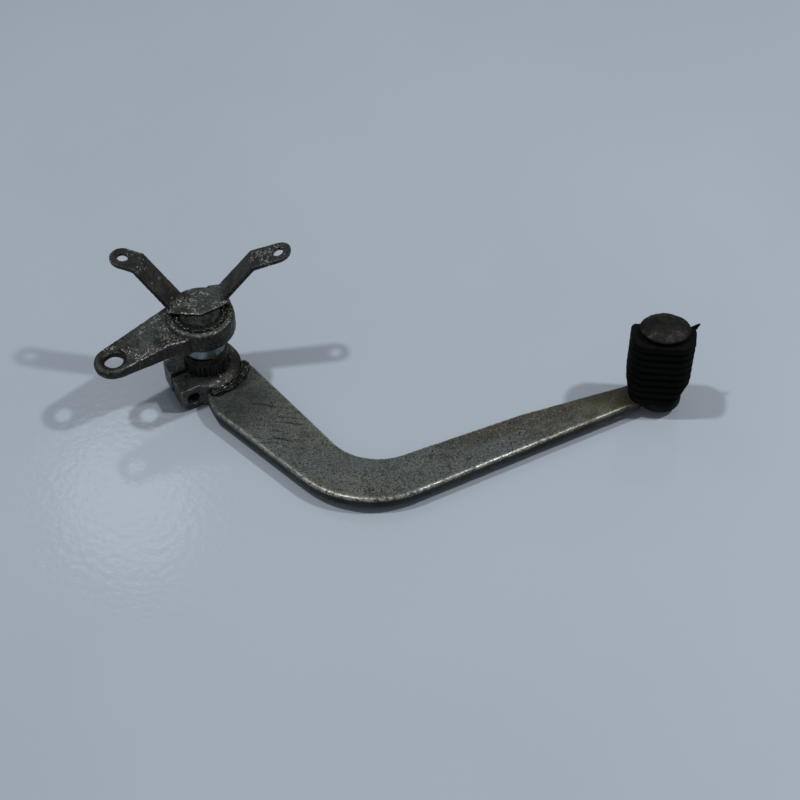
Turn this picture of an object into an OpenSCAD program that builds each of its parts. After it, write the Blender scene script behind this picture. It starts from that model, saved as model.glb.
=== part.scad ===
// Rear brake pedal: a flat bent arm with a ribbed foot peg, clamped by a split hub on a serrated
// pivot shaft, which carries a forged brake lever and a two-armed bracket at its other end.
// The pivot axis is +Z through the origin, the peg stands on +X, and z = 0 is the face it rests on.

/* [Pedal arm] */
// Distance from the pivot axis to the peg, along the reach
reach = 198; // [180:1:220]
// How far the peg stands off the reach line
peg_off = 4.4; // [0:0.2:8]
// Thickness of the flat bar
arm_t = 6; // [5:0.5:8]
// Height of the bar's underside above the hub's lower face
arm_lift = 3; // [1:0.5:4]
// Distance of the bend from the pivot axis along the reach
bend_x = 75; // [60:1:90]
// Depth of the sharp outer corner that the bend is rounded from
bend_out_y = 78.4; // [70:0.1:85]
// Depth of the sharp inner corner that the bend is rounded from
bend_in_y = 51.5; // [45:0.5:58]
// Radius of the bend's outer edge
bend_out_r = 43; // [30:1:50]
// Radius of the bend's inner edge
bend_in_r = 25; // [15:1:35]
// Radius of the round end that carries the peg
arm_end_r = 9.4; // [8:0.2:11]
// Rounding of the bar's long edges
arm_round = 1.4; // [0.6:0.2:2]

/* [Clamp hub] */
// Outer radius of the hub
hub_r = 15; // [13.5:0.5:17]
// Height of the hub
hub_h = 13; // [11:0.5:18]
// Direction of the split, measured from the reach
split_turn = 218; // [205:1:230]
// Width of the split
split_w = 2.2; // [1:0.2:3.5]
// Width of the near ear, from the split's middle
near_half = 11.5; // [10:0.5:13]
// Width of the far ear, from the split's middle
far_half = 10.4; // [9:0.2:13]
// Length of the ear on the arm's side, from the pivot axis
near_ear = 18.8; // [18:0.1:24]
// Length of the other ear, from the pivot axis
far_ear = 16.8; // [16.6:0.1:22]
// Radius of the ears' lower outer corner
ear_corner_r = 5.5; // [2:0.5:6]
// Diameter of the pinch-bolt hole
bolt_d = 6; // [5:0.2:6.2]

/* [Pivot shaft] */
// Radius over the tips of the serrations
tooth_r = 10; // [9:0.25:11]
// Depth of a serration
tooth_h = 0.7; // [0.4:0.1:1]
// Number of serrations round the shaft
teeth = 42; // [30:1:54]
// Length of the serrated end
tooth_len = 19.5; // [17:0.5:22]
// Length of the plain collar above the serrations
collar_len = 3.6; // [2:0.2:6]
// Radius of the journal that turns in the frame
journal_r = 9.4; // [8.5:0.1:10]
// Free length from the hub's upper face to the lever
shaft_gap = 19.5; // [16:0.5:30]
// How far the shaft's upper end stands out of its recess
shaft_proud = 0.6; // [0.2:0.1:1.5]

/* [Brake lever] */
// Radius of the lever's boss
boss_r = 14.8; // [13.5:0.1:18]
// Thickness of the lever's boss
boss_h = 10.5; // [8:0.5:14]
// Distance from the pivot axis to the lever's eye
lever_len = 41.5; // [36:0.5:50]
// Direction of the lever, measured from the reach
lever_turn = 217; // [200:1:235]
// Thickness of the lever at its eye
lever_t = 4.75; // [4.5:0.25:8]
// Thickness of the lever where it leaves the boss
lever_root_t = 9; // [7:0.5:10]
// Radius round the lever's eye
eye_r = 8.6; // [8:0.2:11]
// Diameter of the hole in the eye
eye_d = 8; // [6:0.2:9]
// Diameter of the worn dish round the hole
dish_d = 12; // [10:0.2:14]
// Rounding of the forging's edges
forge_round = 1.9; // [1:0.1:2.2]
// Radius of the sunken ring round the shaft's end
recess_r = 12.2; // [11.8:0.1:12.6]
// Depth of that sunken ring
recess_depth = 1; // [0.5:0.1:2]

/* [Bracket] */
// Thickness of the strap
strap_t = 1.8; // [1.4:0.2:3.4]
// Width of the strap's arms
strap_w = 11; // [10:0.2:13]
// Direction of the left arm, measured from the reach
left_turn = 169.5; // [155:0.5:180]
// Direction of the right arm, measured from the reach
right_turn = 13.5; // [5:0.5:35]
// Reach of the left arm's hole from its root
left_reach = 21; // [18:0.5:30]
// Reach of the right arm's hole from its root
right_reach = 25.5; // [20:0.5:30]
// Height of both small holes above the bracket's plate
strap_rise = 20.5; // [10:0.5:22]
// Rise of the left arm from its bend to the hole
left_tip_rise = 1; // [1:0.2:6]
// Distance from the left hole back to the bend
left_tip_run = 6.5; // [6:0.5:9]
// Rise of the right arm from its bend to the hole
right_tip_rise = 3; // [1:0.2:6]
// Distance from the right hole back to the bend
right_tip_run = 11; // [7:0.5:12]
// Diameter of the small hole in each arm
strap_hole_d = 4.6; // [3:0.1:6]

/* [Foot peg] */
// Radius of the peg's post inside the rubber
post_r = 6.5; // [5:0.25:7]
// Radius of the spigot that is riveted through the bar
spigot_r = 4; // [3:0.25:4.5]
// Half the width of the hammered head
head_r = 10.8; // [9:0.2:12.4]
// Depth of the head as a share of its width
head_oval = 0.84; // [0.7:0.02:1]
// Height of the head's dome
head_h = 3.6; // [3:0.2:6]
// Gap that the worn rubber leaves under the head
head_gap = 1.8; // [0:0.2:3]
// Width of the rubber across its flats
rubber_w = 27.4; // [24:0.2:28]
// Depth of the rubber across its other flats
rubber_d = 19.6; // [18:0.2:27]
// Height of the rubber
rubber_h = 35.5; // [30:0.5:50]
// Corner radius of the rubber
rubber_corner = 7; // [4:0.5:9]
// Turn of the rubber's flats from the reach
rubber_turn = 0; // [-10:1:45]
// Slope to which the rubber's upper back edge is worn down
worn_slope = 26; // [5:1:35]
// Number of grooves round the rubber
grooves = 8; // [4:1:10]
// Width of a groove
groove_w = 1.5; // [0.8:0.1:2.2]
// Depth of a groove
groove_depth = 1.1; // [0.5:0.1:1.8]

/* [Hidden] */
$fn = 64;
steel = "#6f716b";
worn_steel = "#8b8d86";
zinc = "#aab8c2";
weld_grey = "#5c5a52";
black_rubber = "#2a2c2b";
fit = 0.05;
overshoot = 1;
arm_top = arm_lift + arm_t;
lever_z = hub_h + shaft_gap;
boss_top = lever_z + boss_h;
bolt_away = tooth_r + bolt_d / 2 + 0.2;
peg_at = [reach, peg_off];
rubber_z = arm_top;
head_z = rubber_z + rubber_h;
arc_steps = 14;

function unit(v) = v / norm(v);
function polar(r, a) = [r * cos(a), r * sin(a)];

// Points of one rounded corner at b between a and c
function corner(a, b, c, r, steps) =
    let (u = unit(a - b),
         v = unit(c - b),
         half = acos(u * v) / 2,
         centre = b + unit(u + v) * r / sin(half),
         p = b + u * r / tan(half) - centre,
         q = b + v * r / tan(half) - centre,
         start = atan2(p[1], p[0]),
         turn = atan2(p[0] * q[1] - p[1] * q[0], p * q))
    [for (i = [0 : steps]) centre + polar(r, start + turn * i / steps)];

// Closed outline through [point, radius] pairs, each corner rounded by its own radius
function rounded(knots) =
    let (n = len(knots))
    [for (i = [0 : n - 1])
        let (a = knots[(i + n - 1) % n][0], b = knots[i][0], c = knots[(i + 1) % n][0], r = knots[i][1])
        each (r > 0 ? corner(a, b, c, r, r > 10 ? arc_steps : 5) : [b])];

// Four-point web that touches two circles along their common tangents
function tangent_web(r1, r2, d) =
    let (a = acos((r1 - r2) / d))
    [polar(r1, a), [d, 0] + polar(r2, a), [d, 0] + polar(r2, -a), polar(r1, -a)];

module along(turn) {
    rotate([0, 0, turn]) children();
}

// Bar as seen from above, grown by a margin: negative shrinks it
module arm_outline(margin) {
    end_cut = [hub_r * 0.1, -hub_r * 0.8];
    knots = [
        [end_cut, 0],
        [[3.6, -hub_r - 5], 1],
        [[8, -hub_r - 11.6], 3],
        [[bend_x, -bend_out_y], bend_out_r],
        [[reach - 6, -3.6], 0],
        [[reach - 4, peg_off + 7], 0],
        [[reach - 14, 5.6], 8],
        [[bend_x + 66, -14.5], 60],
        [[bend_x, -bend_in_y], bend_in_r],
        [[hub_r + 5, 3], 12],
        [[hub_r * 0.8, hub_r * 0.5], 0]];
    offset(delta = margin) {
        polygon(rounded(knots));
        translate(peg_at + [2, 0]) circle(arm_end_r);
    }
}

module pedal_arm() {
    color(steel)
    difference() {
        translate([0, 0, arm_lift + arm_round])
            minkowski() {
                linear_extrude(arm_t - 2 * arm_round) arm_outline(-arm_round);
                sphere(arm_round, $fn = 16);
            }
        translate([0, 0, -overshoot])
            cylinder(r = hub_r + fit, h = arm_top + 2 * overshoot);
        translate([reach, peg_off, -overshoot])
            cylinder(r = spigot_r + fit, h = arm_top + 2 * overshoot);
    }
}

// Serrated section: pointed teeth on a root circle, opened by a clearance
module serration(clearance) {
    tip = tooth_r + clearance;
    root = tooth_r - tooth_h + clearance;
    polygon([for (i = [0 : 2 * teeth - 1]) polar(i % 2 == 0 ? tip : root, i * 180 / teeth)]);
}

// Ears seen from above in the split's own direction, cut square across but of unequal length
module ear_plan() {
    polygon([[0, -far_half], [far_ear, -far_half], [near_ear, near_half], [0, near_half]]);
}

// Side view of what is rounded off the ears' lower outer corner
module ear_corner() {
    beyond = near_ear + 0.4;
    arc = corner([0, 0], [beyond, 0], [beyond, hub_h], ear_corner_r, 6);
    polygon(concat(arc, [[beyond + 2, ear_corner_r], [beyond + 2, -overshoot],
                         [beyond - ear_corner_r, -overshoot]]));
}

module clamp_hub() {
    color(steel)
    difference() {
        linear_extrude(hub_h) {
            circle(hub_r);
            along(split_turn) ear_plan();
        }
        translate([0, 0, -overshoot]) linear_extrude(hub_h + 2 * overshoot) serration(fit);
        along(split_turn) {
            translate([0, -split_w / 2, -overshoot])
                cube([near_ear + overshoot, split_w, hub_h + 2 * overshoot]);
            translate([bolt_away, hub_r, hub_h / 2]) rotate([90, 0, 0])
                cylinder(d = bolt_d, h = 2 * hub_r);
            translate([0, hub_r, 0]) rotate([90, 0, 0]) linear_extrude(2 * hub_r) ear_corner();
        }
    }
}

// Bead of overlapping round drops laid along an arc, kept outside the parts it joins
module bead(radius, from, to, drop_r, count) {
    for (i = [0 : count - 1])
        along(from + (to - from) * i / (count - 1))
            translate([radius + 0.35 * sin(i * 140), 0, 0])
                sphere(drop_r * (1 + 0.12 * sin(i * 97)), $fn = 24);
}

module hub_weld() {
    color(weld_grey)
    difference() {
        translate([0, 0, arm_top]) bead(hub_r + 1.2, -68, 6, 2.7, 13);
        translate([0, 0, -overshoot]) cylinder(r = hub_r, h = hub_h + 2 * overshoot);
        translate([-hub_r * 2, -hub_r * 2, arm_top - 5]) cube([hub_r * 5, hub_r * 4, 5]);
        translate([-hub_r * 2, -hub_r * 2, hub_h]) cube([hub_r * 5, hub_r * 4, 5]);
    }
}

module pivot_shaft() {
    collar_r = tooth_r + 0.1;
    chamfer = 0.8;
    color(zinc) {
        linear_extrude(tooth_len) serration(0);
        translate([0, 0, tooth_len]) cylinder(r = collar_r, h = collar_len);
        translate([0, 0, tooth_len + collar_len])
            cylinder(r = journal_r, h = boss_top - recess_depth - tooth_len - collar_len);
        translate([0, 0, boss_top - recess_depth])
            cylinder(r1 = journal_r, r2 = journal_r - chamfer, h = recess_depth + shaft_proud);
    }
}

// Round disc whose upper and lower rims are rounded off
module forged_disc(r, h) {
    rotate_extrude()
        intersection() {
            square([r, h]);
            union() {
                square([r - forge_round, h]);
                translate([0, forge_round]) square([r, h - 2 * forge_round]);
                for (y = [forge_round, h - forge_round])
                    translate([r - forge_round, y]) circle(forge_round, $fn = 48);
            }
        }
}

// Lever's web as seen from above: straight at the back, waisted in front where it meets the boss
module lever_web() {
    inset = 0.6;
    back = tangent_web(boss_r - inset, eye_r - inset, lever_len);
    front = eye_r - inset;
    polygon(rounded([
        [back[3], 0],
        [back[2], 0],
        [[lever_len, 0], 0],
        [[lever_len, front], 0],
        [[lever_len * 0.46, front + 0.4], 14],
        [[boss_r * 0.75, boss_r * 0.75], 0],
        [[0, boss_r * 0.5], 0]]));
}

// Side view of the web: level underneath, its upper face running down to the eye
module lever_side() {
    polygon([[0, 0], [lever_len + 2, 0], [lever_len + 2, lever_t - 0.3],
             [boss_r * 0.7, lever_root_t], [0, lever_root_t]]);
}

module brake_lever() {
    color(worn_steel)
    difference() {
        translate([0, 0, lever_z]) {
            forged_disc(boss_r, boss_h);
            along(lever_turn) {
                translate([lever_len, 0, 0]) forged_disc(eye_r, lever_t);
                intersection() {
                    linear_extrude(boss_h) lever_web();
                    translate([0, boss_r + 1, 0]) rotate([90, 0, 0])
                        linear_extrude(2 * boss_r + 2) lever_side();
                }
            }
        }
        translate([0, 0, lever_z - overshoot]) cylinder(r = journal_r + fit, h = boss_h + 2 * overshoot);
        translate([0, 0, boss_top - recess_depth]) cylinder(r = recess_r, h = recess_depth + overshoot);
        translate([0, 0, lever_z]) along(lever_turn) translate([lever_len, 0, 0]) {
            translate([0, 0, -overshoot]) cylinder(d = eye_d, h = boss_h);
            translate([0, 0, lever_t - 1.2]) cylinder(d1 = eye_d, d2 = dish_d + 1, h = 1.8);
            translate([0, 0, -0.4]) cylinder(d1 = dish_d, d2 = eye_d, h = 2);
        }
    }
}

module shaft_weld() {
    rim = journal_r + 0.9;
    color(weld_grey)
    difference() {
        translate([0, 0, boss_top - recess_depth]) bead(rim, 0, 350, 1.2, 36);
        translate([0, 0, lever_z]) cylinder(r = journal_r, h = boss_h + 2);
        translate([-boss_r, -boss_r, boss_top - recess_depth - 3]) cube([2 * boss_r, 2 * boss_r, 3]);
    }
}

// Side view of one strap arm: flat root, steep rise and shallower tip
module strap_side(run, tip_run, tip_rise) {
    knee = [run - tip_run, strap_rise - tip_rise];
    tail = strap_w / 2 + 1;
    slope = tip_rise / tip_run;
    end = [run + tail, strap_rise + slope * tail];
    polygon([[-strap_w * 0.6, 0], [0, 0], knee, end, end + [0, strap_t],
             knee + [-0.8, strap_t + 0.3], [-1.5, strap_t], [-strap_w * 0.6, strap_t]]);
}

module strap_arm(root, turn, run, tip_run, tip_rise) {
    translate([root[0], root[1], boss_top]) along(turn)
        difference() {
            intersection() {
                translate([0, strap_w / 2, 0]) rotate([90, 0, 0])
                    linear_extrude(strap_w) strap_side(run, tip_run, tip_rise);
                linear_extrude(2 * strap_rise) {
                    translate([-strap_w * 0.6, -strap_w / 2]) square([run + strap_w * 0.6, strap_w]);
                    translate([run, 0]) circle(strap_w / 2);
                }
            }
            translate([run, 0, strap_rise + strap_t / 2])
                rotate([0, -atan(tip_rise / tip_run), 0])
                    cylinder(d = strap_hole_d, h = 4 * strap_t, center = true);
        }
}

// Roots of the two arms on the plate, and the plate's front edge
left_root = [-12, 4.3];
right_root = [8.2, 11.5];
plate_front = -3.2;
front_slope = 0.85;

// Everything behind the plate's front edge, seen from above
module behind_front() {
    side = 2 * boss_r;
    polygon([[-side, plate_front + 0.6], [1, plate_front], [side, plate_front + front_slope * (side - 1)],
             [side, side], [-side, side]]);
}

module switch_bracket() {
    color(steel)
    difference() {
        union() {
            translate([0, 0, boss_top])
                linear_extrude(strap_t)
                    intersection() {
                        circle(boss_r - 0.6);
                        behind_front();
                    }
            strap_arm(left_root, left_turn, left_reach, left_tip_run, left_tip_rise);
            strap_arm(right_root, right_turn, right_reach, right_tip_run, right_tip_rise);
        }
        translate([0, 0, boss_top - overshoot])
            cylinder(r = recess_r, h = overshoot + shaft_proud + 0.2);
    }
}

// Short bead at each end of the plate's front edge, on the flat rim of the boss
module bracket_weld() {
    drop_r = 0.9;
    rim = (recess_r + boss_r - 0.4) / 2;
    color(weld_grey)
    difference() {
        translate([0, 0, boss_top]) {
            bead(rim, 190, 206, drop_r, 4);
            bead(rim, 13, 29, drop_r, 4);
        }
        translate([0, 0, boss_top - overshoot]) linear_extrude(2 * overshoot + strap_t) behind_front();
        translate([0, 0, boss_top - 5]) cylinder(r = 2 * boss_r, h = 5);
        translate([0, 0, boss_top - overshoot]) cylinder(r = recess_r, h = 3 * overshoot);
    }
}

module foot_peg() {
    rivet_r = spigot_r + 1.4;
    color(worn_steel)
    translate(peg_at) {
        cylinder(r1 = rivet_r - 1, r2 = rivet_r, h = arm_lift);
        cylinder(r = spigot_r, h = arm_top);
        translate([0, 0, arm_top]) cylinder(r = post_r, h = rubber_h + head_gap);
        translate([0.4, 0, head_z + head_gap]) scale([1, head_oval, 1])
            rotate_extrude()
                intersection() {
                    translate([0, -30]) square([head_r, 60]);
                    union() {
                        square([head_r, 0.8]);
                        translate([0, head_h - 22]) circle(22, $fn = 120);
                    }
                    square([head_r, head_h + 1]);
                }
    }
}

module rubber_section(inset) {
    x_side = rubber_w / 2 - rubber_corner;
    y_side = rubber_d / 2 - rubber_corner;
    square([rubber_w - 2 * inset, 2 * y_side], center = true);
    square([2 * x_side, rubber_d - 2 * inset], center = true);
    for (x = [-x_side, x_side], y = [-y_side, y_side])
        translate([x, y]) circle(rubber_corner - inset);
}

module peg_rubber() {
    pitch = rubber_h / (grooves + 1);
    color(black_rubber)
    translate([reach, peg_off, rubber_z]) along(rubber_turn)
        difference() {
            union() {
                linear_extrude(rubber_h) rubber_section(groove_depth);
                for (i = [0 : grooves])
                    translate([0, 0, i * pitch + (i == 0 ? 0 : groove_w / 2)])
                        linear_extrude(pitch - groove_w * (i == 0 || i == grooves ? 0.5 : 1))
                            rubber_section(0);
            }
            translate([0, 0, -overshoot]) cylinder(r = post_r + fit, h = rubber_h + 2 * overshoot);
            translate([-rubber_w, 1, rubber_h]) rotate([-worn_slope, 0, 0])
                cube([2 * rubber_w, rubber_d, 10]);
        }
}

pedal_arm();
clamp_hub();
hub_weld();
pivot_shaft();
brake_lever();
shaft_weld();
switch_bracket();
bracket_weld();
foot_peg();
peg_rubber();
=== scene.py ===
"""Rear brake pedal: worn forged and pressed steel on a serrated shaft, with a ribbed peg rubber."""
import math

import bmesh
import bpy
from mathutils import Matrix, Vector, noise


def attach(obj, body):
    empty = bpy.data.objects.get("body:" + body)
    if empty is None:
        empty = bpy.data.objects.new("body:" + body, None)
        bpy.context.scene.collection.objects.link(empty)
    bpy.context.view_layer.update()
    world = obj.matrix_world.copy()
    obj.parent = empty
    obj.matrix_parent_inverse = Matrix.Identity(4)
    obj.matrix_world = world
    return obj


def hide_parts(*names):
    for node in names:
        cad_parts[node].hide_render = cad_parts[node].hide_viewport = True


bl_info = {
    "name": "Rear brake pedal",
    "version": (1, 0, 0),
    "blender": (4, 5, 0),
    "location": "View3D > Sidebar > Pedal",
    "description": "Dresses the pedal's frame with worn steel and rubber and sets the table top",
    "category": "Object",
}

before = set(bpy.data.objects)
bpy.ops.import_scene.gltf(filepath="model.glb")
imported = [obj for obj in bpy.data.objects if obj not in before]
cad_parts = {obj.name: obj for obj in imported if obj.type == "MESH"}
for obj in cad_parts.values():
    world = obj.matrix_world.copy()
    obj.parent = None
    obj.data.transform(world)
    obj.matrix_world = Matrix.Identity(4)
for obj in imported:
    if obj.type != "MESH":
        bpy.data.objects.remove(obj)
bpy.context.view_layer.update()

# Places on the part, in metres

HUB_END = (0.015, -0.018, 0.009)
HUB_MARKS = (0.036, -0.030, 0.009)
HUB_RIM = (0.009, 0.000, 0.012)
PEG_STAIN = (0.176, -0.004, 0.009)
PEG_OLIVE = (0.192, 0.001, 0.009)
PEG_FOOT = (0.2005, 0.0044, 0.006)
LEVER_EYE = (-0.0331, -0.0250, 0.0362)
STRAP_BENDS = (Vector((-0.0263, 0.0069)), Vector((0.0223, 0.0149)))
PLATE_TIP = (Vector((0.0, -0.0032)),)
LAMP_AIM = Vector((0.09, -0.02, 0.0))

# Levels along the pivot axis, in metres

BAR_UNDER = 0.0069
BAR_RIM = 0.0082
HUB_TOP = 0.013
COLLAR_FOOT = 0.0190
JOURNAL_FOOT = 0.0236
SHAFT_END = 0.0418
ARM_ROOT = 0.0448
TIP_FOOT = 0.0600
HEAD_FOOT = 0.0445

# Radii from the pivot axis between which the hub's rim falls, in metres

RIM_INNER = 0.0108
RIM_OUTER = 0.0150

# Place, lean, length and root radius of each strip torn off the rubber's upper right edge

TORN_STRIPS = (
    ((0.2088, 0.0090, 0.0431), (1.0, 0.25, 0.20), 0.0060, 0.0017),
    ((0.2120, 0.0098, 0.0440), (0.7, 0.10, 0.75), 0.0034, 0.0010),
)

# Rubbed lower corners of the rubber: where they begin and how far they go in, in metres

WEAR_TOP = 0.020
WEAR_FULL = 0.009
WEAR_RIGHT = 0.2025
WEAR_LEFT = 0.1925
WEAR_RIGHT_DEPTH = 0.0042
WEAR_LEFT_DEPTH = 0.0020

# Fixed tones of dirt, scale, pits and bare edges, and of painted shade and painted highlights

BAR_TARNISH = (0.064, 0.058, 0.048)
BAR_SMEAR = (0.040, 0.036, 0.028)
BAR_GRAIN = (0.022, 0.022, 0.017)
BAR_BY_HUB = (0.040, 0.050, 0.049)
BAR_STAIN = (0.098, 0.088, 0.046)
BAR_MARK = (0.020, 0.021, 0.018)
BAR_PIT = (0.018, 0.016, 0.013)
BAR_OLIVE = (0.034, 0.031, 0.018)
# Used as painted shade on the bar's sides and for the darker lug under the peg
NEAR_BLACK = (0.008, 0.008, 0.006)
LEVER_STAIN = (0.022, 0.019, 0.013)
LEVER_PIT = (0.007, 0.007, 0.005)
EYE_DISH_SHADE = (0.009, 0.009, 0.007)
CREVICE_SHADE = (0.005, 0.005, 0.004)
HUB_RIM_BROWN_SHADE = (0.009, 0.008, 0.005)
HUB_PIT = (0.008, 0.008, 0.007)
TOOTH_DARK = (0.014, 0.014, 0.012)
TOOTH_LIGHT = (0.040, 0.044, 0.043)
TOOTH_CREST_HIGHLIGHT = (0.36, 0.38, 0.38)
STRAP_PLAIN = (0.038, 0.037, 0.033)
STRAP_PIT = (0.006, 0.006, 0.005)
WELD_SCALE = (0.009, 0.008, 0.006)
HEAD_DARK = (0.004, 0.004, 0.003)
HEAD_LIGHT = (0.009, 0.008, 0.007)
HEAD_DAB = (0.034, 0.034, 0.029)
HEAD_SPECK = (0.07, 0.068, 0.058)
TABLE_SPECK = (0.16, 0.17, 0.19)

# Light

LAMP_TINT = (1.0, 0.99, 0.98)
BACK_TINT = (0.98, 0.99, 1.0)
ROOM_TINT = (0.92, 0.96, 1.0, 1.0)
ROOM_STRENGTH = 0.30

# Camera, in millimetres for the sensor and metres for the point it looks at

SENSOR = 36.0
AIM_RIGHT = 0.0855
AIM_UP = -0.008775

# Half the width of the table, the welds' voxel, and the phase of their ripples per metre

TABLE_HALF = 3.0
WELD_GRAIN = 0.00022
RIPPLE_PHASE = 4200.0


class PedalSettings(bpy.types.PropertyGroup):
    """Sizes and looks that the operators read."""

    grain: bpy.props.FloatProperty(
        name="Grain", description="Voxel size of the softened forgings",
        default=0.00036, min=0.0002, max=0.001, unit="LENGTH", precision=5)
    pits: bpy.props.FloatProperty(
        name="Pits", description="Height of the uneven forged skin",
        default=0.00007, min=0.0, max=0.0005, unit="LENGTH", precision=5)
    hammer: bpy.props.FloatProperty(
        name="Hammer marks", description="Height of the hammer marks on the peg's head",
        default=0.00025, min=0.0, max=0.001, unit="LENGTH", precision=5)
    bar_light: bpy.props.FloatVectorProperty(
        name="Bar, light", description="Lighter patches of the flat bar",
        default=(0.157, 0.167, 0.149), min=0.0, max=1.0, subtype="COLOR")
    bar_dark: bpy.props.FloatVectorProperty(
        name="Bar, dark", description="Darker patches of the flat bar",
        default=(0.072, 0.075, 0.062), min=0.0, max=1.0, subtype="COLOR")
    bar_blue: bpy.props.FloatVectorProperty(
        name="Bar, blue", description="Bluish patches where the bar's plating is left",
        default=(0.114, 0.141, 0.141), min=0.0, max=1.0, subtype="COLOR")
    forging_light: bpy.props.FloatVectorProperty(
        name="Forging, light", description="Lighter patches of the lever and the strap",
        default=(0.049, 0.056, 0.050), min=0.0, max=1.0, subtype="COLOR")
    forging_dark: bpy.props.FloatVectorProperty(
        name="Forging, dark", description="Darker patches of the lever and the strap",
        default=(0.012, 0.012, 0.010), min=0.0, max=1.0, subtype="COLOR")
    plating: bpy.props.FloatVectorProperty(
        name="Plating", description="Blue-green remains of plating on the lever and the strap's plate",
        default=(0.066, 0.086, 0.084), min=0.0, max=1.0, subtype="COLOR")
    # Specks of plating; on the hub's ring and on the welds this colour is painted glints
    speck_and_glint: bpy.props.FloatVectorProperty(
        name="Specks", description="Bright specks of plating left in the pitted skin",
        default=(0.40, 0.42, 0.385), min=0.0, max=1.0, subtype="COLOR")
    # Bare metal on worn edges, and also a painted highlight along them
    rubbed_and_highlight: bpy.props.FloatVectorProperty(
        name="Rubbed steel", description="Bare metal on edges rubbed bright",
        default=(0.54, 0.53, 0.48), min=0.0, max=1.0, subtype="COLOR")
    hub_tone: bpy.props.FloatVectorProperty(
        name="Hub", description="Lighter patches of the clamp hub",
        default=(0.078, 0.088, 0.086), min=0.0, max=1.0, subtype="COLOR")
    zinc: bpy.props.FloatVectorProperty(
        name="Zinc", description="Bright bearing surface of the shaft",
        default=(0.265, 0.342, 0.372), min=0.0, max=1.0, subtype="COLOR")
    rust: bpy.props.FloatVectorProperty(
        name="Rust", description="Brown collar above the serrations",
        default=(0.042, 0.035, 0.025), min=0.0, max=1.0, subtype="COLOR")
    rubber: bpy.props.FloatVectorProperty(
        name="Rubber", description="Dusty parts of the black rubber",
        default=(0.0042, 0.0050, 0.0044), min=0.0, max=1.0, subtype="COLOR")
    board: bpy.props.FloatVectorProperty(
        name="Table", description="Painted table top",
        default=(0.375, 0.427, 0.488), min=0.0, max=1.0, subtype="COLOR")
    rim_fall: bpy.props.FloatProperty(
        name="Rim slope", description="Drop of the hub's rim where it runs into the weld",
        default=0.0024, min=0.0, max=0.005, unit="LENGTH", precision=4)
    lens: bpy.props.FloatProperty(
        name="Lens", description="Focal length on a 36 mm wide sensor, in millimetres",
        default=72.0, min=20.0, max=200.0)
    tilt: bpy.props.FloatProperty(
        name="Camera elevation", description="Angle at which the camera looks down",
        default=math.radians(48.0), subtype="ANGLE")
    turn: bpy.props.FloatProperty(
        name="Camera turn", description="Turn of the camera about the upright axis",
        default=math.radians(6.8), subtype="ANGLE")
    roll: bpy.props.FloatProperty(
        name="Camera roll", description="Lean of the camera about its own line of sight",
        default=math.radians(-1.2), subtype="ANGLE")
    distance: bpy.props.FloatProperty(
        name="Camera distance", description="Distance from the camera to the pivot's plane",
        default=0.720, min=0.2, max=3.0, unit="LENGTH")


# Shapes

def copy_of(node, name):
    """A new piece with the merged mesh of one CAD node."""
    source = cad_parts[node]
    mesh = source.data.copy()
    mesh.name = name
    mesh.materials.clear()
    work = bmesh.new()
    work.from_mesh(mesh)
    bmesh.ops.remove_doubles(work, verts=work.verts, dist=1e-6)
    work.to_mesh(mesh)
    work.free()
    piece = bpy.data.objects.new(name, mesh)
    bpy.context.scene.collection.objects.link(piece)
    return piece


def bake(piece):
    """The piece's modifiers become its mesh."""
    graph = bpy.context.evaluated_depsgraph_get()
    old = piece.data
    piece.data = bpy.data.meshes.new_from_object(piece.evaluated_get(graph))
    piece.modifiers.clear()
    bpy.data.meshes.remove(old)


def soften(piece, voxel, passes):
    """Even triangles over the whole piece, with its edges worn round."""
    even = piece.modifiers.new("Even skin", "REMESH")
    even.mode = "VOXEL"
    even.voxel_size = voxel
    even.adaptivity = 0.0
    worn = piece.modifiers.new("Worn edges", "SMOOTH")
    worn.factor = 0.5
    worn.iterations = passes
    bake(piece)


def rumple(piece, height, size, seed, where=None):
    """Moves the skin along its normals by a smooth random height."""
    work = bmesh.new()
    work.from_mesh(piece.data)
    work.normal_update()
    shift = Vector((seed, seed * 0.37, -seed * 0.71))
    for vertex in work.verts:
        place = vertex.co / size + shift
        amount = noise.noise(place) + 0.5 * noise.noise(place * 2.1)
        if where:
            amount *= where(vertex.co)
        vertex.co += vertex.normal * amount * height
    work.to_mesh(piece.data)
    work.free()


def shade(piece, material, smooth_angle=None):
    """One material, smooth shaded, with sharp edges kept above an angle."""
    piece.data.materials.clear()
    piece.data.materials.append(material)
    work = bmesh.new()
    work.from_mesh(piece.data)
    for face in work.faces:
        face.smooth = True
    if smooth_angle is not None:
        for edge in work.edges:
            edge.smooth = len(edge.link_faces) == 2 and edge.calc_face_angle() < smooth_angle
    work.to_mesh(piece.data)
    work.free()


def finish_piece(piece, node):
    """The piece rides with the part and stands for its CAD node."""
    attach(piece, "root")
    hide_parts(node)


# Materials

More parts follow.
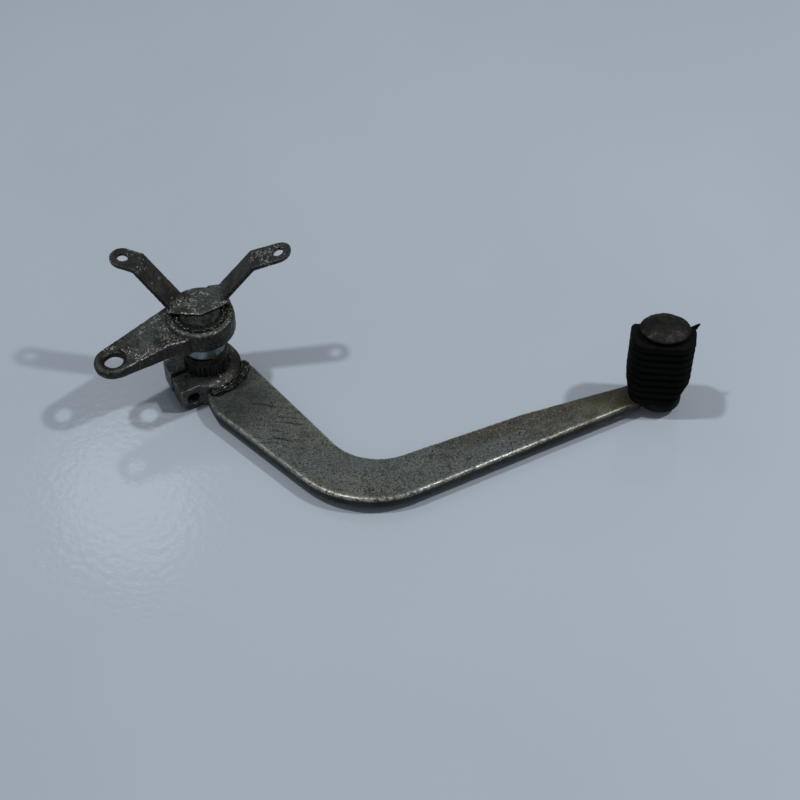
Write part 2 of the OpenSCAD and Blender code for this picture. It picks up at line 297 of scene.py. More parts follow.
class Surface:
    """A small helper that grows one material's node tree from left to right."""

    def __init__(self, name, metallic, roughness, specular=0.5):
        self.material = bpy.data.materials.new(name)
        self.material.use_nodes = True
        self.tree = self.material.node_tree
        self.shader = self.tree.nodes["Principled BSDF"]
        self.shader.inputs["Metallic"].default_value = metallic
        self.shader.inputs["Roughness"].default_value = roughness
        self.shader.inputs["Specular IOR Level"].default_value = specular
        self.coords = self.tree.nodes.new("ShaderNodeTexCoord").outputs["Object"]
        self.height = None

    def add(self, kind, **values):
        """A new node with its settings."""
        node = self.tree.nodes.new(kind)
        for key, value in values.items():
            setattr(node, key, value)
        return node

    def link(self, output, target):
        self.tree.links.new(output, target)

    def placed(self, scale=(1, 1, 1), turn=(0, 0, 0), move=(0, 0, 0)):
        """The object's coordinates, scaled, turned and moved."""
        node = self.add("ShaderNodeMapping")
        node.inputs["Scale"].default_value = scale
        node.inputs["Rotation"].default_value = turn
        node.inputs["Location"].default_value = move
        self.link(self.coords, node.inputs["Vector"])
        return node.outputs["Vector"]

    def noise(self, scale, detail=3.0, rough=0.6, warp=0.0, vector=None):
        """Cloudy random value about one half."""
        node = self.add("ShaderNodeTexNoise")
        node.inputs["Scale"].default_value = scale
        node.inputs["Detail"].default_value = detail
        node.inputs["Roughness"].default_value = rough
        node.inputs["Distortion"].default_value = warp
        self.link(vector or self.coords, node.inputs["Vector"])
        return node.outputs["Fac"]

    def cells(self, scale):
        """Distance to the nearest of many scattered points."""
        node = self.add("ShaderNodeTexVoronoi")
        node.inputs["Scale"].default_value = scale
        self.link(self.coords, node.inputs["Vector"])
        return node.outputs["Distance"]

    def band(self, source, low, high, to_low=0.0, to_high=1.0):
        """A smooth step from one level of the source to another."""
        node = self.add("ShaderNodeMapRange", interpolation_type="SMOOTHSTEP")
        node.inputs["From Min"].default_value = low
        node.inputs["From Max"].default_value = high
        node.inputs["To Min"].default_value = to_low
        node.inputs["To Max"].default_value = to_high
        self.link(source, node.inputs["Value"])
        return node.outputs["Result"]

    def maths(self, operation, first, second):
        """One sum on values or sockets."""
        node = self.add("ShaderNodeMath", operation=operation)
        for socket, value in zip(node.inputs, (first, second)):
            if isinstance(value, (int, float)):
                socket.default_value = value
            else:
                self.link(value, socket)
        return node.outputs["Value"]

    def times(self, first, second):
        """The product of two values."""
        return self.maths("MULTIPLY", first, second)

    def mix(self, share, first, second):
        """From the first colour to the second by a share."""
        node = self.add("ShaderNodeMix", data_type="RGBA")
        sockets = (node.inputs[0], node.inputs[6], node.inputs[7])
        for socket, value in zip(sockets, (share, first, second)):
            if isinstance(value, (int, float)):
                socket.default_value = value
            elif isinstance(value, tuple):
                socket.default_value = (*value, 1.0)
            else:
                self.link(value, socket)
        return node.outputs[2]

    def edges(self, low, high):
        """Worn where the surface is convex."""
        point = self.add("ShaderNodeNewGeometry").outputs["Pointiness"]
        return self.band(point, low, high)

    def scratches(self, scale, stretch, turn, low, high):
        """Thin straight marks along one direction."""
        vector = self.placed(scale=stretch, turn=(0, 0, turn))
        return self.band(self.noise(scale, 2.0, 0.4, 0.0, vector), low, high)

    def along(self, axis):
        """The place along one axis, in metres."""
        split = self.add("ShaderNodeSeparateXYZ")
        self.link(self.coords, split.inputs["Vector"])
        return split.outputs[axis]

    def facing_up(self, low, high):
        """1 where the surface faces upwards, 0 on its sides."""
        split = self.add("ShaderNodeSeparateXYZ")
        self.link(self.add("ShaderNodeTexCoord").outputs["Normal"], split.inputs["Vector"])
        return self.band(split.outputs["Z"], low, high)

    def beyond(self, normal, offset, soft):
        """1 on the far side of a plane, 0 on its near side."""
        node = self.add("ShaderNodeVectorMath", operation="DOT_PRODUCT")
        self.link(self.coords, node.inputs[0])
        node.inputs[1].default_value = normal
        return self.band(node.outputs["Value"], offset - soft, offset + soft)

    def near(self, point, radius, soft):
        """1 close to a point, 0 further off, in metres."""
        node = self.add("ShaderNodeVectorMath", operation="DISTANCE")
        self.link(self.coords, node.inputs[0])
        node.inputs[1].default_value = point
        return self.band(node.outputs["Value"], radius + soft, max(radius - soft, 0.0))

    def from_pivot(self):
        """Distance from the pivot axis, in metres."""
        node = self.add("ShaderNodeVectorMath", operation="LENGTH")
        self.link(self.placed(scale=(1, 1, 0)), node.inputs[0])
        return node.outputs["Value"]

    def colour(self, output):
        self.link(output, self.shader.inputs["Base Color"])

    def roughness(self, output):
        self.link(output, self.shader.inputs["Roughness"])

    def bump(self, output, depth, strength=1.0):
        """Relief of a given depth, on top of any relief before it."""
        node = self.add("ShaderNodeBump")
        node.inputs["Distance"].default_value = depth
        node.inputs["Strength"].default_value = strength
        self.link(output, node.inputs["Height"])
        if self.height is not None:
            self.link(self.height, node.inputs["Normal"])
        self.height = node.outputs["Normal"]
        self.link(self.height, self.shader.inputs["Normal"])


def toned(colour, factor):
    """The same colour, lighter or darker."""
    return tuple(channel * factor for channel in colour)


def arm_steel(chosen):
    """Bar steel: grey-green and blue-grey patches under countless small dark pits."""
    skin = Surface("arm steel", 0.72, 0.46)
    patches = skin.band(skin.noise(48, 5, 0.66, 0.9), 0.42, 0.60)
    blue = skin.band(skin.noise(26, 4, 0.6, 0.5, skin.placed(move=(0.3, 0.1, 0))), 0.50, 0.64)
    grain = skin.noise(1100, 3, 0.75)
    grey = skin.mix(patches, tuple(chosen.bar_dark), tuple(chosen.bar_light))
    grey = skin.mix(skin.times(blue, 0.75), grey, tuple(chosen.bar_blue))
    tarnish = skin.times(skin.beyond((-0.533, 0.846, 0.0), -0.0956, 0.0006),
                         skin.beyond((1.0, 0.25, 0.0), 0.0962, 0.0015))
    tarnish = skin.times(tarnish, skin.band(skin.noise(150, 4, 0.7), 0.30, 0.62, 0.35, 0.72))
    grey = skin.mix(tarnish, grey, BAR_TARNISH)
    smear = skin.band(skin.noise(95, 5, 0.72, 1.4), 0.53, 0.66)
    grey = skin.mix(skin.times(smear, 0.62), grey, BAR_SMEAR)
    grey = skin.mix(skin.band(grain, 0.50, 0.34, 0.0, 0.9), grey, BAR_GRAIN)
    grey = skin.mix(skin.band(grain, 0.55, 0.68, 0.0, 0.75), grey, toned(chosen.bar_light, 1.65))
    hub_end = skin.near(HUB_END, 0.017, 0.010)
    mottle = skin.band(skin.noise(130, 5, 0.7, 0.8), 0.36, 0.60, 0.52, 1.0)
    hub_end = skin.times(hub_end, mottle)
    grey = skin.mix(skin.times(hub_end, 0.82), grey, BAR_BY_HUB)
    stain = skin.times(skin.near(PEG_STAIN, 0.011, 0.010),
                       skin.band(skin.noise(220, 4, 0.6), 0.4, 0.6, 0.3, 0.9))
    grey = skin.mix(stain, grey, BAR_STAIN)
    marks = skin.scratches(70, (1.0, 9.0, 1.0), math.radians(62), 0.58, 0.68)
    marks = skin.times(marks, skin.near(HUB_MARKS, 0.016, 0.010))
    grey = skin.mix(skin.times(marks, 0.8), grey, BAR_MARK)
    pits = skin.band(skin.cells(700), 0.34, 0.20)
    pits = skin.times(pits, skin.band(skin.noise(150, 4, 0.7), 0.40, 0.56))
    grey = skin.mix(skin.times(pits, 0.85), grey, BAR_PIT)
    # Painted shade: below the rim of its top face the bar is painted near black, on its side faces and
    # its underside
    side = skin.band(skin.along("Z"), BAR_RIM, BAR_UNDER)
    grey = skin.mix(skin.times(side, 0.93), grey, NEAR_BLACK)
    # Bright edges: bare rubbed metal and a painted highlight, kept off the sides, weaker at the hub end
    # and fading towards the peg
    rubbed_and_highlight = skin.times(skin.edges(0.505, 0.530), skin.band(skin.noise(560, 4, 0.78), 0.43, 0.56))
    rubbed_and_highlight = skin.times(rubbed_and_highlight, skin.maths("SUBTRACT", 1.0, side))
    rubbed_and_highlight = skin.times(rubbed_and_highlight, skin.band(skin.along("X"), 0.036, 0.070, 0.48, 1.0))
    rubbed_and_highlight = skin.times(rubbed_and_highlight, skin.band(skin.along("X"), 0.172, 0.148, 0.25, 1.0))
    grey = skin.mix(rubbed_and_highlight, grey, tuple(chosen.rubbed_and_highlight))
    olive = skin.near(PEG_OLIVE, 0.011, 0.008)
    grey = skin.mix(skin.times(olive, 0.8), grey, BAR_OLIVE)
    # A darker, duller lug round the peg's foot, under the rubber
    dark_lug = skin.near(PEG_FOOT, 0.0125, 0.002)
    grey = skin.mix(dark_lug, grey, NEAR_BLACK)
    skin.colour(grey)
    rough = skin.band(skin.maths("ADD", grain, patches), 0.4, 1.4, 0.56, 0.40)
    rough = skin.maths("SUBTRACT", rough, skin.times(rubbed_and_highlight, 0.14))
    skin.roughness(skin.maths("ADD", rough, skin.times(dark_lug, 0.3)))
    skin.bump(grain, 0.00008, 0.8)
    skin.bump(skin.noise(90, 4, 0.6), 0.00018, 0.5)
    return skin.material


def forged_steel(chosen):
    """Pitted forging skin: clusters of light and dark specks, bright rims of rubbed metal and painted
    highlight, and painted shade on its sides, in its creases and in the eye's dish.
    """
    skin = Surface("lever steel", 0.7, 0.5)
    patches = skin.band(skin.noise(85, 5, 0.68, 0.9), 0.40, 0.60)
    specks = skin.noise(1100, 4, 0.80, 0.3)
    clusters = skin.band(skin.noise(125, 4, 0.65, 0.8), 0.45, 0.59, 0.04, 1.0)
    base = skin.mix(patches, tuple(chosen.forging_dark), tuple(chosen.forging_light))
    plating = skin.band(skin.noise(60, 4, 0.6, 0.7, skin.placed(move=(0.2, 0.4, 0))), 0.50, 0.62)
    base = skin.mix(skin.times(plating, 0.72), base, tuple(chosen.plating))
    stain = skin.band(skin.noise(72, 4, 0.65, 0.9, skin.placed(move=(0.5, 0.2, 0.1))), 0.48, 0.60)
    base = skin.mix(skin.times(stain, 0.75), base, LEVER_STAIN)
    # Painted shade: faces that turn away from the top are painted darker and carry fewer bright specks
    upper = skin.facing_up(0.35, 0.80)
    base = skin.mix(upper, toned(chosen.forging_dark, 1.9), base)
    bright = skin.times(skin.band(specks, 0.535, 0.60), clusters)
    bright = skin.times(bright, skin.band(upper, 0.0, 1.0, 0.25, 1.0))
    base = skin.mix(bright, base, tuple(chosen.speck_and_glint))
    base = skin.mix(skin.band(specks, 0.47, 0.39, 0.0, 0.95), base, LEVER_PIT)
    # Bright rims: bare rubbed metal and a painted highlight
    rubbed_and_highlight = skin.times(skin.edges(0.512, 0.545), skin.band(skin.noise(700, 4, 0.80), 0.48, 0.57))
    # Painted shade: the dish round the eye hole is painted darker
    eye_dish_shade = skin.near(LEVER_EYE, 0.0060, 0.0007)
    base = skin.mix(skin.times(eye_dish_shade, 0.8), base, EYE_DISH_SHADE)
    # Painted shade: concave creases and hollows of the lever and its boss are painted near black
    crevice_shade = skin.edges(0.488, 0.470)
    base = skin.mix(skin.times(crevice_shade, 0.85), base, CREVICE_SHADE)
    base = skin.mix(rubbed_and_highlight, base, tuple(chosen.rubbed_and_highlight))
    skin.colour(base)
    rough = skin.band(specks, 0.35, 0.65, 0.58, 0.32)
    skin.roughness(skin.maths("SUBTRACT", rough, skin.times(rubbed_and_highlight, 0.08)))
    skin.bump(specks, 0.00016, 0.9)
    skin.bump(skin.noise(160, 4, 0.6), 0.00025, 0.5)
    return skin.material


def hub_steel(chosen):
    """Dark cast skin; a browner ring by the shaft, darkened with painted shade and dotted with painted
    glints; a few bright rims of rubbed metal and painted highlight.
    """
    skin = Surface("hub steel", 0.65, 0.46)
    patches = skin.band(skin.noise(120, 5, 0.66, 0.6), 0.38, 0.62)
    grain = skin.noise(860, 4, 0.76)
    base = skin.mix(patches, toned(chosen.hub_tone, 0.34), tuple(chosen.hub_tone))
    # The ring round the shaft on the hub's top: brown tone with painted shade, dotted with painted
    # glints
    brown = skin.near(HUB_RIM, 0.014, 0.006)
    base = skin.mix(skin.band(grain, 0.54, 0.66, 0.0, 0.7), base, toned(chosen.speck_and_glint, 0.5))
    base = skin.mix(skin.times(brown, 0.92), base, HUB_RIM_BROWN_SHADE)
    glints = skin.times(brown, skin.band(skin.noise(640, 4, 0.8), 0.58, 0.64))
    base = skin.mix(glints, base, toned(chosen.speck_and_glint, 0.8))
    base = skin.mix(skin.band(grain, 0.46, 0.36, 0.0, 0.8), base, HUB_PIT)
    # Bright rims: bare rubbed metal and a painted highlight
    rubbed_and_highlight = skin.times(skin.edges(0.512, 0.56), skin.band(skin.noise(600, 4, 0.75), 0.44, 0.60))
    base = skin.mix(skin.times(rubbed_and_highlight, 0.8), base, toned(chosen.rubbed_and_highlight, 0.8))
    skin.colour(base)
    skin.roughness(skin.band(grain, 0.3, 0.7, 0.56, 0.36))
    skin.bump(grain, 0.00010, 0.9)
    skin.bump(skin.noise(140, 4, 0.6), 0.0002, 0.5)
    return skin.material


def shaft_zinc(chosen):
    """Bright journal over a brown collar and dark, greasy serrations whose crests carry a painted
    highlight.
    """
    skin = Surface("shaft zinc", 0.9, 0.32)
    up = skin.along("Z")
    grain = skin.noise(700, 4, 0.7)
    rings = skin.noise(60, 3, 0.6, 0.0, skin.placed(scale=(1, 1, 40)))
    zinc = skin.mix(skin.band(rings, 0.35, 0.65), toned(chosen.zinc, 0.55), tuple(chosen.zinc))
    dulled = skin.band(skin.noise(260, 4, 0.7), 0.48, 0.64, 0.0, 0.8)
    zinc = skin.mix(dulled, zinc, toned(chosen.zinc, 0.2))
    rust = skin.mix(skin.band(grain, 0.35, 0.65), toned(chosen.rust, 0.35), tuple(chosen.rust))
    teeth = skin.mix(skin.band(grain, 0.4, 0.65), TOOTH_DARK, TOOTH_LIGHT)
    # Painted highlight: the convex crests of the serrations are painted bright
    teeth = skin.mix(skin.edges(0.508, 0.57), teeth, TOOTH_CREST_HIGHLIGHT)
    lower = skin.band(up, COLLAR_FOOT, COLLAR_FOOT + 0.0008)
    ragged = skin.maths("ADD", up, skin.times(grain, 0.0012))
    upper = skin.band(ragged, JOURNAL_FOOT, JOURNAL_FOOT + 0.0008)
    colour = skin.mix(upper, skin.mix(lower, teeth, rust), zinc)
    end = skin.band(up, SHAFT_END, SHAFT_END + 0.0010)
    dull = skin.mix(skin.band(grain, 0.4, 0.62), tuple(chosen.forging_dark), tuple(chosen.forging_light))
    skin.colour(skin.mix(end, colour, dull))
    skin.roughness(skin.band(skin.maths("SUBTRACT", upper, end), 0.0, 1.0, 0.55, 0.30))
    skin.bump(grain, 0.00006, 0.8)
    return skin.material


def strap_steel(chosen):
    """Strap: plain grey-brown arms, pitted plate, darker tips with a few specks."""
    skin = Surface("strap steel", 0.65, 0.50)
    specks = skin.noise(1150, 4, 0.80, 0.3)
    patches = skin.band(skin.noise(110, 5, 0.68, 0.8), 0.38, 0.60)
    clusters = skin.band(skin.noise(150, 4, 0.65, 0.7), 0.44, 0.58, 0.04, 1.0)
    plain = skin.mix(patches, toned(chosen.forging_dark, 1.2), STRAP_PLAIN)
    pitted = skin.mix(patches, toned(chosen.forging_dark, 1.1), toned(chosen.forging_light, 1.1))
    plating = skin.band(skin.noise(75, 4, 0.6, 0.7, skin.placed(move=(0.1, 0.6, 0))), 0.48, 0.60)
    pitted = skin.mix(skin.times(plating, 0.6), pitted, tuple(chosen.plating))
    bright = skin.times(skin.band(specks, 0.53, 0.60), clusters)
    height = skin.along("Z")
    tips = skin.band(height, TIP_FOOT, TIP_FOOT + 0.0020)
    rising = skin.times(skin.band(height, ARM_ROOT, ARM_ROOT + 0.0027),
                        skin.band(height, TIP_FOOT + 0.0022, TIP_FOOT + 0.0005))
    base = skin.mix(skin.times(rising, 0.85), pitted, plain)
    base = skin.mix(skin.times(tips, 0.62), base, toned(chosen.forging_dark, 0.8))
    bright = skin.times(bright, skin.maths("SUBTRACT", 1.0, skin.times(rising, 0.93)))
    base = skin.mix(bright, base, tuple(chosen.speck_and_glint))
    base = skin.mix(skin.band(specks, 0.47, 0.39, 0.0, 0.9), base, STRAP_PIT)
    # Bright rims: bare rubbed metal and a painted highlight
    rubbed_and_highlight = skin.times(skin.edges(0.525, 0.585), skin.band(skin.noise(600, 4, 0.78), 0.46, 0.60))
    base = skin.mix(skin.times(rubbed_and_highlight, 0.75), base, toned(chosen.rubbed_and_highlight, 0.8))
    skin.colour(base)
    skin.roughness(skin.band(specks, 0.35, 0.65, 0.62, 0.38))
    skin.bump(specks, 0.00014, 0.9)
    return skin.material


def weld_steel(chosen, name, factor, ripples=False):
    """Lumpy bead with scale and a few painted glints, rippled round the pivot where asked."""
    skin = Surface(name, 0.85, 0.30)
    grain = skin.noise(640, 5, 0.75)
    base = skin.mix(skin.band(skin.noise(300, 4, 0.7), 0.42, 0.62),
                    tuple(chosen.forging_dark), toned(chosen.forging_light, factor))
    # Painted glints: bright spots of the speck colour on the bead
    base = skin.mix(skin.band(grain, 0.56, 0.68, 0.0, 0.8), base, toned(chosen.speck_and_glint, 1.1))
    base = skin.mix(skin.band(grain, 0.44, 0.34, 0.0, 0.8), base, WELD_SCALE)
    skin.colour(base)
    skin.roughness(skin.band(grain, 0.3, 0.7, 0.38, 0.17))
    skin.bump(grain, 0.00026, 1.0)
    if ripples:
        rings = skin.maths("SINE", skin.times(skin.from_pivot(), RIPPLE_PHASE), 0.0)
        skin.bump(rings, 0.00030, 1.0)
    return skin.material


def head_steel():
    """Hammered head: nearly black skin with dull grey dabs."""
    skin = Surface("head steel", 0.6, 0.55, 0.28)
    dabs = skin.band(skin.noise(260, 3, 0.55, 0.4), 0.52, 0.68)
    grain = skin.noise(760, 4, 0.7)
    base = skin.mix(skin.band(skin.noise(110, 4, 0.6), 0.36, 0.64), HEAD_DARK, HEAD_LIGHT)
    base = skin.mix(skin.times(dabs, 0.5), base, HEAD_DAB)
    base = skin.mix(skin.band(grain, 0.58, 0.70, 0.0, 0.4), base, HEAD_SPECK)
    skin.colour(base)
    skin.roughness(skin.band(grain, 0.3, 0.7, 0.62, 0.44))
    skin.bump(grain, 0.00008, 0.8)
    return skin.material


def peg_rubber_skin(chosen):
    """Dull black rubber, dusty on its ribs."""
    skin = Surface("peg rubber", 0.0, 0.80, 0.06)
    dust = skin.band(skin.noise(95, 5, 0.65, 0.5), 0.42, 0.70)
    grain = skin.noise(900, 4, 0.75)
    base = skin.mix(dust, toned(chosen.rubber, 0.45), tuple(chosen.rubber))
    base = skin.mix(skin.band(grain, 0.56, 0.70, 0.0, 0.6), base, toned(chosen.rubber, 2.2))
    skin.colour(base)
    skin.roughness(skin.band(grain, 0.3, 0.7, 0.9, 0.7))
    skin.bump(grain, 0.00010, 0.8)
    return skin.material


def table_top(chosen):
    """Pale grey-blue painted board with a fine orange-peel gloss and a few specks."""
    skin = Surface("table top", 0.0, 0.12, 0.4)
    tone = skin.band(skin.noise(5, 3, 0.5), 0.35, 0.65)
    base = skin.mix(tone, toned(chosen.board, 0.975), toned(chosen.board, 1.01))
    specks = skin.band(skin.cells(11), 0.012, 0.008)
    base = skin.mix(skin.times(specks, 0.6), base, TABLE_SPECK)
    skin.colour(base)
    skin.bump(skin.noise(300, 2, 0.5), 0.0005, 0.22)
    return skin.material


# Operators, one for each piece or group

class PedalOperator:
    """What all the operators share."""
    bl_options = {"REGISTER", "UNDO"}

    @property
    def settings(self):
        return bpy.context.scene.pedal_settings


class PEDAL_OT_arm(PedalOperator, bpy.types.Operator):
    """Softens the bent bar and gives it its smooth, rubbed steel, with painted shade on its sides and a
    painted highlight along its edges
    """
    bl_idname = "pedal.arm"
    bl_label = "Pedal arm"

    def execute(self, context):
        piece = copy_of("pedal_arm", "bent_bar")
        soften(piece, self.settings.grain * 1.25, 24)
        rumple(piece, self.settings.pits * 1.5, 0.012, 3.1)
        shade(piece, arm_steel(self.settings))
        finish_piece(piece, "pedal_arm")
        return {"FINISHED"}


class PEDAL_OT_hub(PedalOperator, bpy.types.Operator):
    """Softens the split hub with its two ears and slopes its rim towards the weld"""
    bl_idname = "pedal.hub"
    bl_label = "Clamp hub"

    def slope_rim(self, piece):
        """Lowers the upper rim on the arm's side, most of all at its edge."""
        work = bmesh.new()
        work.from_mesh(piece.data)
        for vertex in work.verts:
            out = math.hypot(vertex.co.x, vertex.co.y)
            bearing = math.atan2(vertex.co.y, vertex.co.x)
            share = max(0.0, min(1.0, (out - RIM_INNER) / (RIM_OUTER - RIM_INNER)))
            facing = max(0.0, min(1.0, 2.4 - abs(bearing + 0.1) * 1.5))
            upper = max(0.0, min(1.0, (vertex.co.z - HUB_TOP * 0.45) / (HUB_TOP * 0.55)))
            vertex.co.z -= self.settings.rim_fall * share ** 1.4 * facing * upper
        work.to_mesh(piece.data)
        work.free()

    def execute(self, context):
        piece = copy_of("clamp_hub", "split_hub")
        soften(piece, self.settings.grain * 0.8, 5)
        self.slope_rim(piece)
        rumple(piece, self.settings.pits, 0.006, 5.7)
        shade(piece, hub_steel(self.settings))
        finish_piece(piece, "clamp_hub")
        return {"FINISHED"}


class PEDAL_OT_shaft(PedalOperator, bpy.types.Operator):
    """Gives the serrated shaft its zinc, its brown collar and its dark serrations"""
    bl_idname = "pedal.shaft"
    bl_label = "Pivot shaft"

    def execute(self, context):
        piece = copy_of("pivot_shaft", "serrated_shaft")
        shade(piece, shaft_zinc(self.settings), math.radians(24))
        finish_piece(piece, "pivot_shaft")
        return {"FINISHED"}


class PEDAL_OT_lever(PedalOperator, bpy.types.Operator):
    """Softens the forged lever and pits its skin"""
    bl_idname = "pedal.lever"
    bl_label = "Brake lever"

    def execute(self, context):
        piece = copy_of("brake_lever", "forged_lever")
        soften(piece, self.settings.grain, 14)
        rumple(piece, self.settings.pits * 2.0, 0.004, 8.3)
        shade(piece, forged_steel(self.settings))
        finish_piece(piece, "brake_lever")
        return {"FINISHED"}


class PEDAL_OT_bracket(PedalOperator, bpy.types.Operator):
    """Softens the two-armed strap and its plate and rounds its bends"""
    bl_idname = "pedal.bracket"
    bl_label = "Switch bracket"

    def ease_bends(self, piece, bends, reach):
        """Rounds the strap within a reach of each place."""
        work = bmesh.new()
        work.from_mesh(piece.data)
        close = [v for v in work.verts if min((v.co.xy - bend).length for bend in bends) < reach]
        for _ in range(30):
            bmesh.ops.smooth_vert(work, verts=close, factor=0.5,
                                  use_axis_x=True, use_axis_y=True, use_axis_z=True)
        work.to_mesh(piece.data)
        work.free()

    def execute(self, context):
        piece = copy_of("switch_bracket", "two_armed_strap")
        soften(piece, self.settings.grain * 0.75, 9)
        self.ease_bends(piece, STRAP_BENDS, 0.0045)
        self.ease_bends(piece, PLATE_TIP, 0.0042)
        rumple(piece, self.settings.pits, 0.004, 1.9)
        shade(piece, strap_steel(self.settings))
        finish_piece(piece, "switch_bracket")
        return {"FINISHED"}


class PEDAL_OT_welds(PedalOperator, bpy.types.Operator):
    """Runs the drops of each weld together into an uneven bead"""
    bl_idname = "pedal.welds"
    bl_label = "Welds"

    def execute(self, context):
        beads = (("hub_weld", "hub_bead", 0.8), ("shaft_weld", "shaft_end_bead", 0.7),
                 ("bracket_weld", "strap_bead", 0.7))
        for node, name, factor in beads:
            piece = copy_of(node, name)
            long_bead = node == "hub_weld"
            soften(piece, WELD_GRAIN, 70 if long_bead else 16)
            rumple(piece, self.settings.pits * (1.6 if long_bead else 3.0), 0.0022, 12.0)
            shade(piece, weld_steel(self.settings, name, factor, long_bead))
            finish_piece(piece, node)
        return {"FINISHED"}


class PEDAL_OT_peg(PedalOperator, bpy.types.Operator):
    """Hammers the peg's head and wears its rubber"""
    bl_idname = "pedal.peg"
    bl_label = "Foot peg"

    def flap(self, sleeve):
        """Thin torn strips that stand off the upper right edge."""
        work = bmesh.new()
        work.from_mesh(sleeve.data)
        for place, lean, length, root in TORN_STRIPS:
            turn = Vector(lean).to_track_quat("Z", "X").to_matrix().to_4x4()
            bmesh.ops.create_cone(work, cap_ends=True, segments=8, radius1=root, radius2=root * 0.3,
                                  depth=length, matrix=Matrix.Translation(place) @ turn)
        work.to_mesh(sleeve.data)
        work.free()

    def wear_corners(self, sleeve):
        """The lower corners are rubbed away, most of all at the outer end."""
        work = bmesh.new()
        work.from_mesh(sleeve.data)
        for vertex in work.verts:
            low = max(0.0, min(1.0, (WEAR_TOP - vertex.co.z) / (WEAR_TOP - WEAR_FULL)))
            right = max(0.0, (vertex.co.x - WEAR_RIGHT) / 0.0095)
            left = max(0.0, (WEAR_LEFT - vertex.co.x) / 0.0085)
            vertex.co.x += low * (WEAR_LEFT_DEPTH * left - WEAR_RIGHT_DEPTH * right)
        work.to_mesh(sleeve.data)
        work.free()

    def execute(self, context):
        post = copy_of("foot_peg", "hammered_post")
        soften(post, self.settings.grain, 5)
        rumple(post, self.settings.hammer, 0.0032, 4.4,
               lambda co: 1.0 if co.z > HEAD_FOOT else 0.0)
        shade(post, head_steel())
        finish_piece(post, "foot_peg")
        sleeve = copy_of("peg_rubber", "ribbed_sleeve")
        self.flap(sleeve)
        soften(sleeve, self.settings.grain * 0.95, 4)
        self.wear_corners(sleeve)
        rumple(sleeve, 0.00022, 0.0035, 9.6,
               lambda co: 0.35 + 1.6 * max(0.0, min(1.0, (co.z - 0.037) / 0.006)) * (co.x > 0.200))
        shade(sleeve, peg_rubber_skin(self.settings))
        finish_piece(sleeve, "peg_rubber")
        return {"FINISHED"}


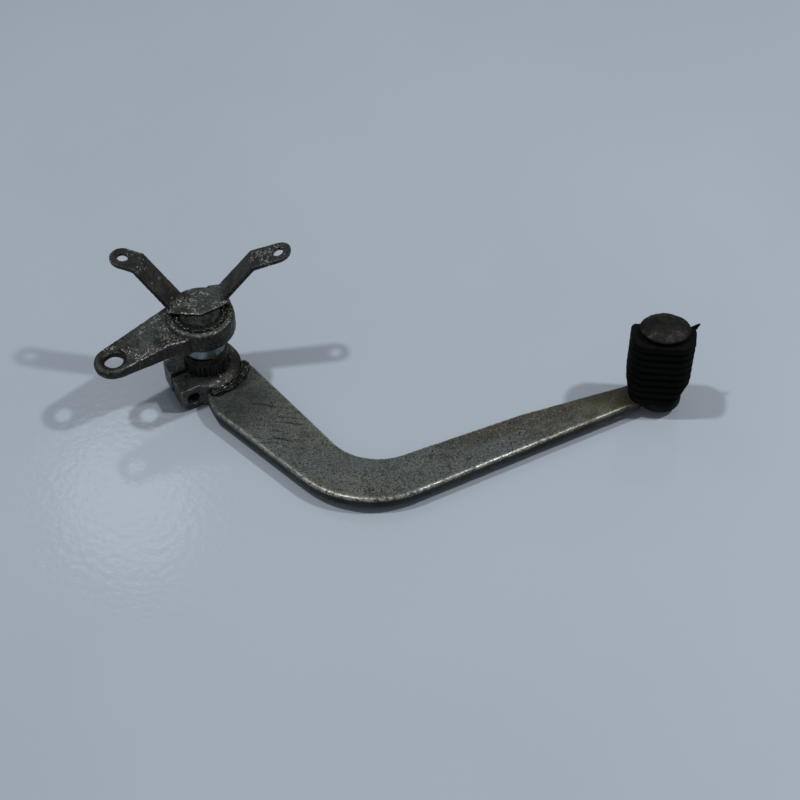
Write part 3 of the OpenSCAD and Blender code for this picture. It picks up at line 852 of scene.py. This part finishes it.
class PEDAL_OT_stage(PedalOperator, bpy.types.Operator):
    """Sets the table top, the lamps and the camera"""
    bl_idname = "pedal.stage"
    bl_label = "Table, lamps and camera"

    def execute(self, context):
        self.table()
        self.lamp("right lamp", (0.73, 0.02, 1.00), 0.07, 5.6, LAMP_TINT)
        self.lamp("left lamp", (-0.60, -0.13, 2.00), 0.13, 16.8, LAMP_TINT)
        self.lamp("back lamp", (-0.21, 0.39, 0.60), 0.12, 0.07, BACK_TINT)
        world = bpy.data.worlds.new("room")
        world.use_nodes = True
        room = world.node_tree.nodes["Background"]
        room.inputs["Color"].default_value = ROOM_TINT
        room.inputs["Strength"].default_value = ROOM_STRENGTH
        self.horizon(world.node_tree)
        context.scene.world = world
        context.scene.view_settings.view_transform = "Standard"
        self.camera(context)
        return {"FINISHED"}

    def horizon(self, tree):
        """The camera sees the room in the table's own colour, which lights nothing."""
        seen = tree.nodes.new("ShaderNodeBackground")
        seen.inputs["Color"].default_value = (*self.settings.board, 1.0)
        ray = tree.nodes.new("ShaderNodeLightPath")
        either = tree.nodes.new("ShaderNodeMixShader")
        tree.links.new(ray.outputs["Is Camera Ray"], either.inputs[0])
        tree.links.new(tree.nodes["Background"].outputs[0], either.inputs[1])
        tree.links.new(seen.outputs[0], either.inputs[2])
        tree.links.new(either.outputs[0], tree.nodes["World Output"].inputs["Surface"])

    def table(self):
        """A wide flat board under the part."""
        mesh = bpy.data.meshes.new("table")
        work = bmesh.new()
        bmesh.ops.create_grid(work, x_segments=2, y_segments=2, size=TABLE_HALF)
        work.to_mesh(mesh)
        work.free()
        table = bpy.data.objects.new("table", mesh)
        bpy.context.scene.collection.objects.link(table)
        shade(table, table_top(self.settings))

    def lamp(self, name, place, size, power, colour):
        """A round lamp that points at the middle of the part."""
        light = bpy.data.lights.new(name, "AREA")
        light.shape = "DISK"
        light.size = size
        light.energy = power
        light.color = colour
        lamp = bpy.data.objects.new(name, light)
        lamp.location = place
        aim = LAMP_AIM - Vector(place)
        lamp.rotation_euler = aim.to_track_quat("-Z", "Y").to_euler()
        bpy.context.scene.collection.objects.link(lamp)

    def camera(self, context):
        """A camera at the photograph's viewing angle."""
        chosen = self.settings
        level = Vector((math.cos(chosen.turn), math.sin(chosen.turn), 0.0))
        ahead = Vector((-math.sin(chosen.turn), math.cos(chosen.turn), 0.0))
        down = Vector((0.0, 0.0, -1.0))
        sight = ahead * math.cos(chosen.tilt) + down * math.sin(chosen.tilt)
        rise = ahead * math.sin(chosen.tilt) - down * math.cos(chosen.tilt)
        right = level * math.cos(chosen.roll) + rise * math.sin(chosen.roll)
        over = rise * math.cos(chosen.roll) - level * math.sin(chosen.roll)
        place = right * AIM_RIGHT + over * AIM_UP - sight * chosen.distance
        data = bpy.data.cameras.new("photo view")
        data.lens = chosen.lens
        data.sensor_width = SENSOR
        data.clip_start = 0.05
        camera = bpy.data.objects.new("photo view", data)
        turn = Matrix((right, over, -sight)).transposed().to_4x4()
        camera.matrix_world = Matrix.Translation(place) @ turn
        context.scene.collection.objects.link(camera)
        context.scene.camera = camera


class PEDAL_PT_panel(bpy.types.Panel):
    """Buttons for each step, in order"""
    bl_idname = "PEDAL_PT_panel"
    bl_label = "Rear brake pedal"
    bl_space_type = "VIEW_3D"
    bl_region_type = "UI"
    bl_category = "Pedal"

    def draw(self, context):
        column = self.layout.column()
        for name in PedalSettings.__annotations__:
            column.prop(context.scene.pedal_settings, name)
        for step in STEPS:
            column.operator(step.bl_idname)


STEPS = (PEDAL_OT_arm, PEDAL_OT_hub, PEDAL_OT_shaft, PEDAL_OT_lever, PEDAL_OT_bracket,
         PEDAL_OT_welds, PEDAL_OT_peg, PEDAL_OT_stage)


def register():
    bpy.utils.register_class(PedalSettings)
    for step in STEPS:
        bpy.utils.register_class(step)
    bpy.utils.register_class(PEDAL_PT_panel)
    bpy.types.Scene.pedal_settings = bpy.props.PointerProperty(type=PedalSettings)


def unregister():
    del bpy.types.Scene.pedal_settings
    bpy.utils.unregister_class(PEDAL_PT_panel)
    for step in reversed(STEPS):
        bpy.utils.unregister_class(step)
    bpy.utils.unregister_class(PedalSettings)


def main():
    register()
    bpy.ops.pedal.arm()
    bpy.ops.pedal.hub()
    bpy.ops.pedal.shaft()
    bpy.ops.pedal.lever()
    bpy.ops.pedal.bracket()
    bpy.ops.pedal.welds()
    bpy.ops.pedal.peg()
    bpy.ops.pedal.stage()


if __name__ == "__main__":
    main()
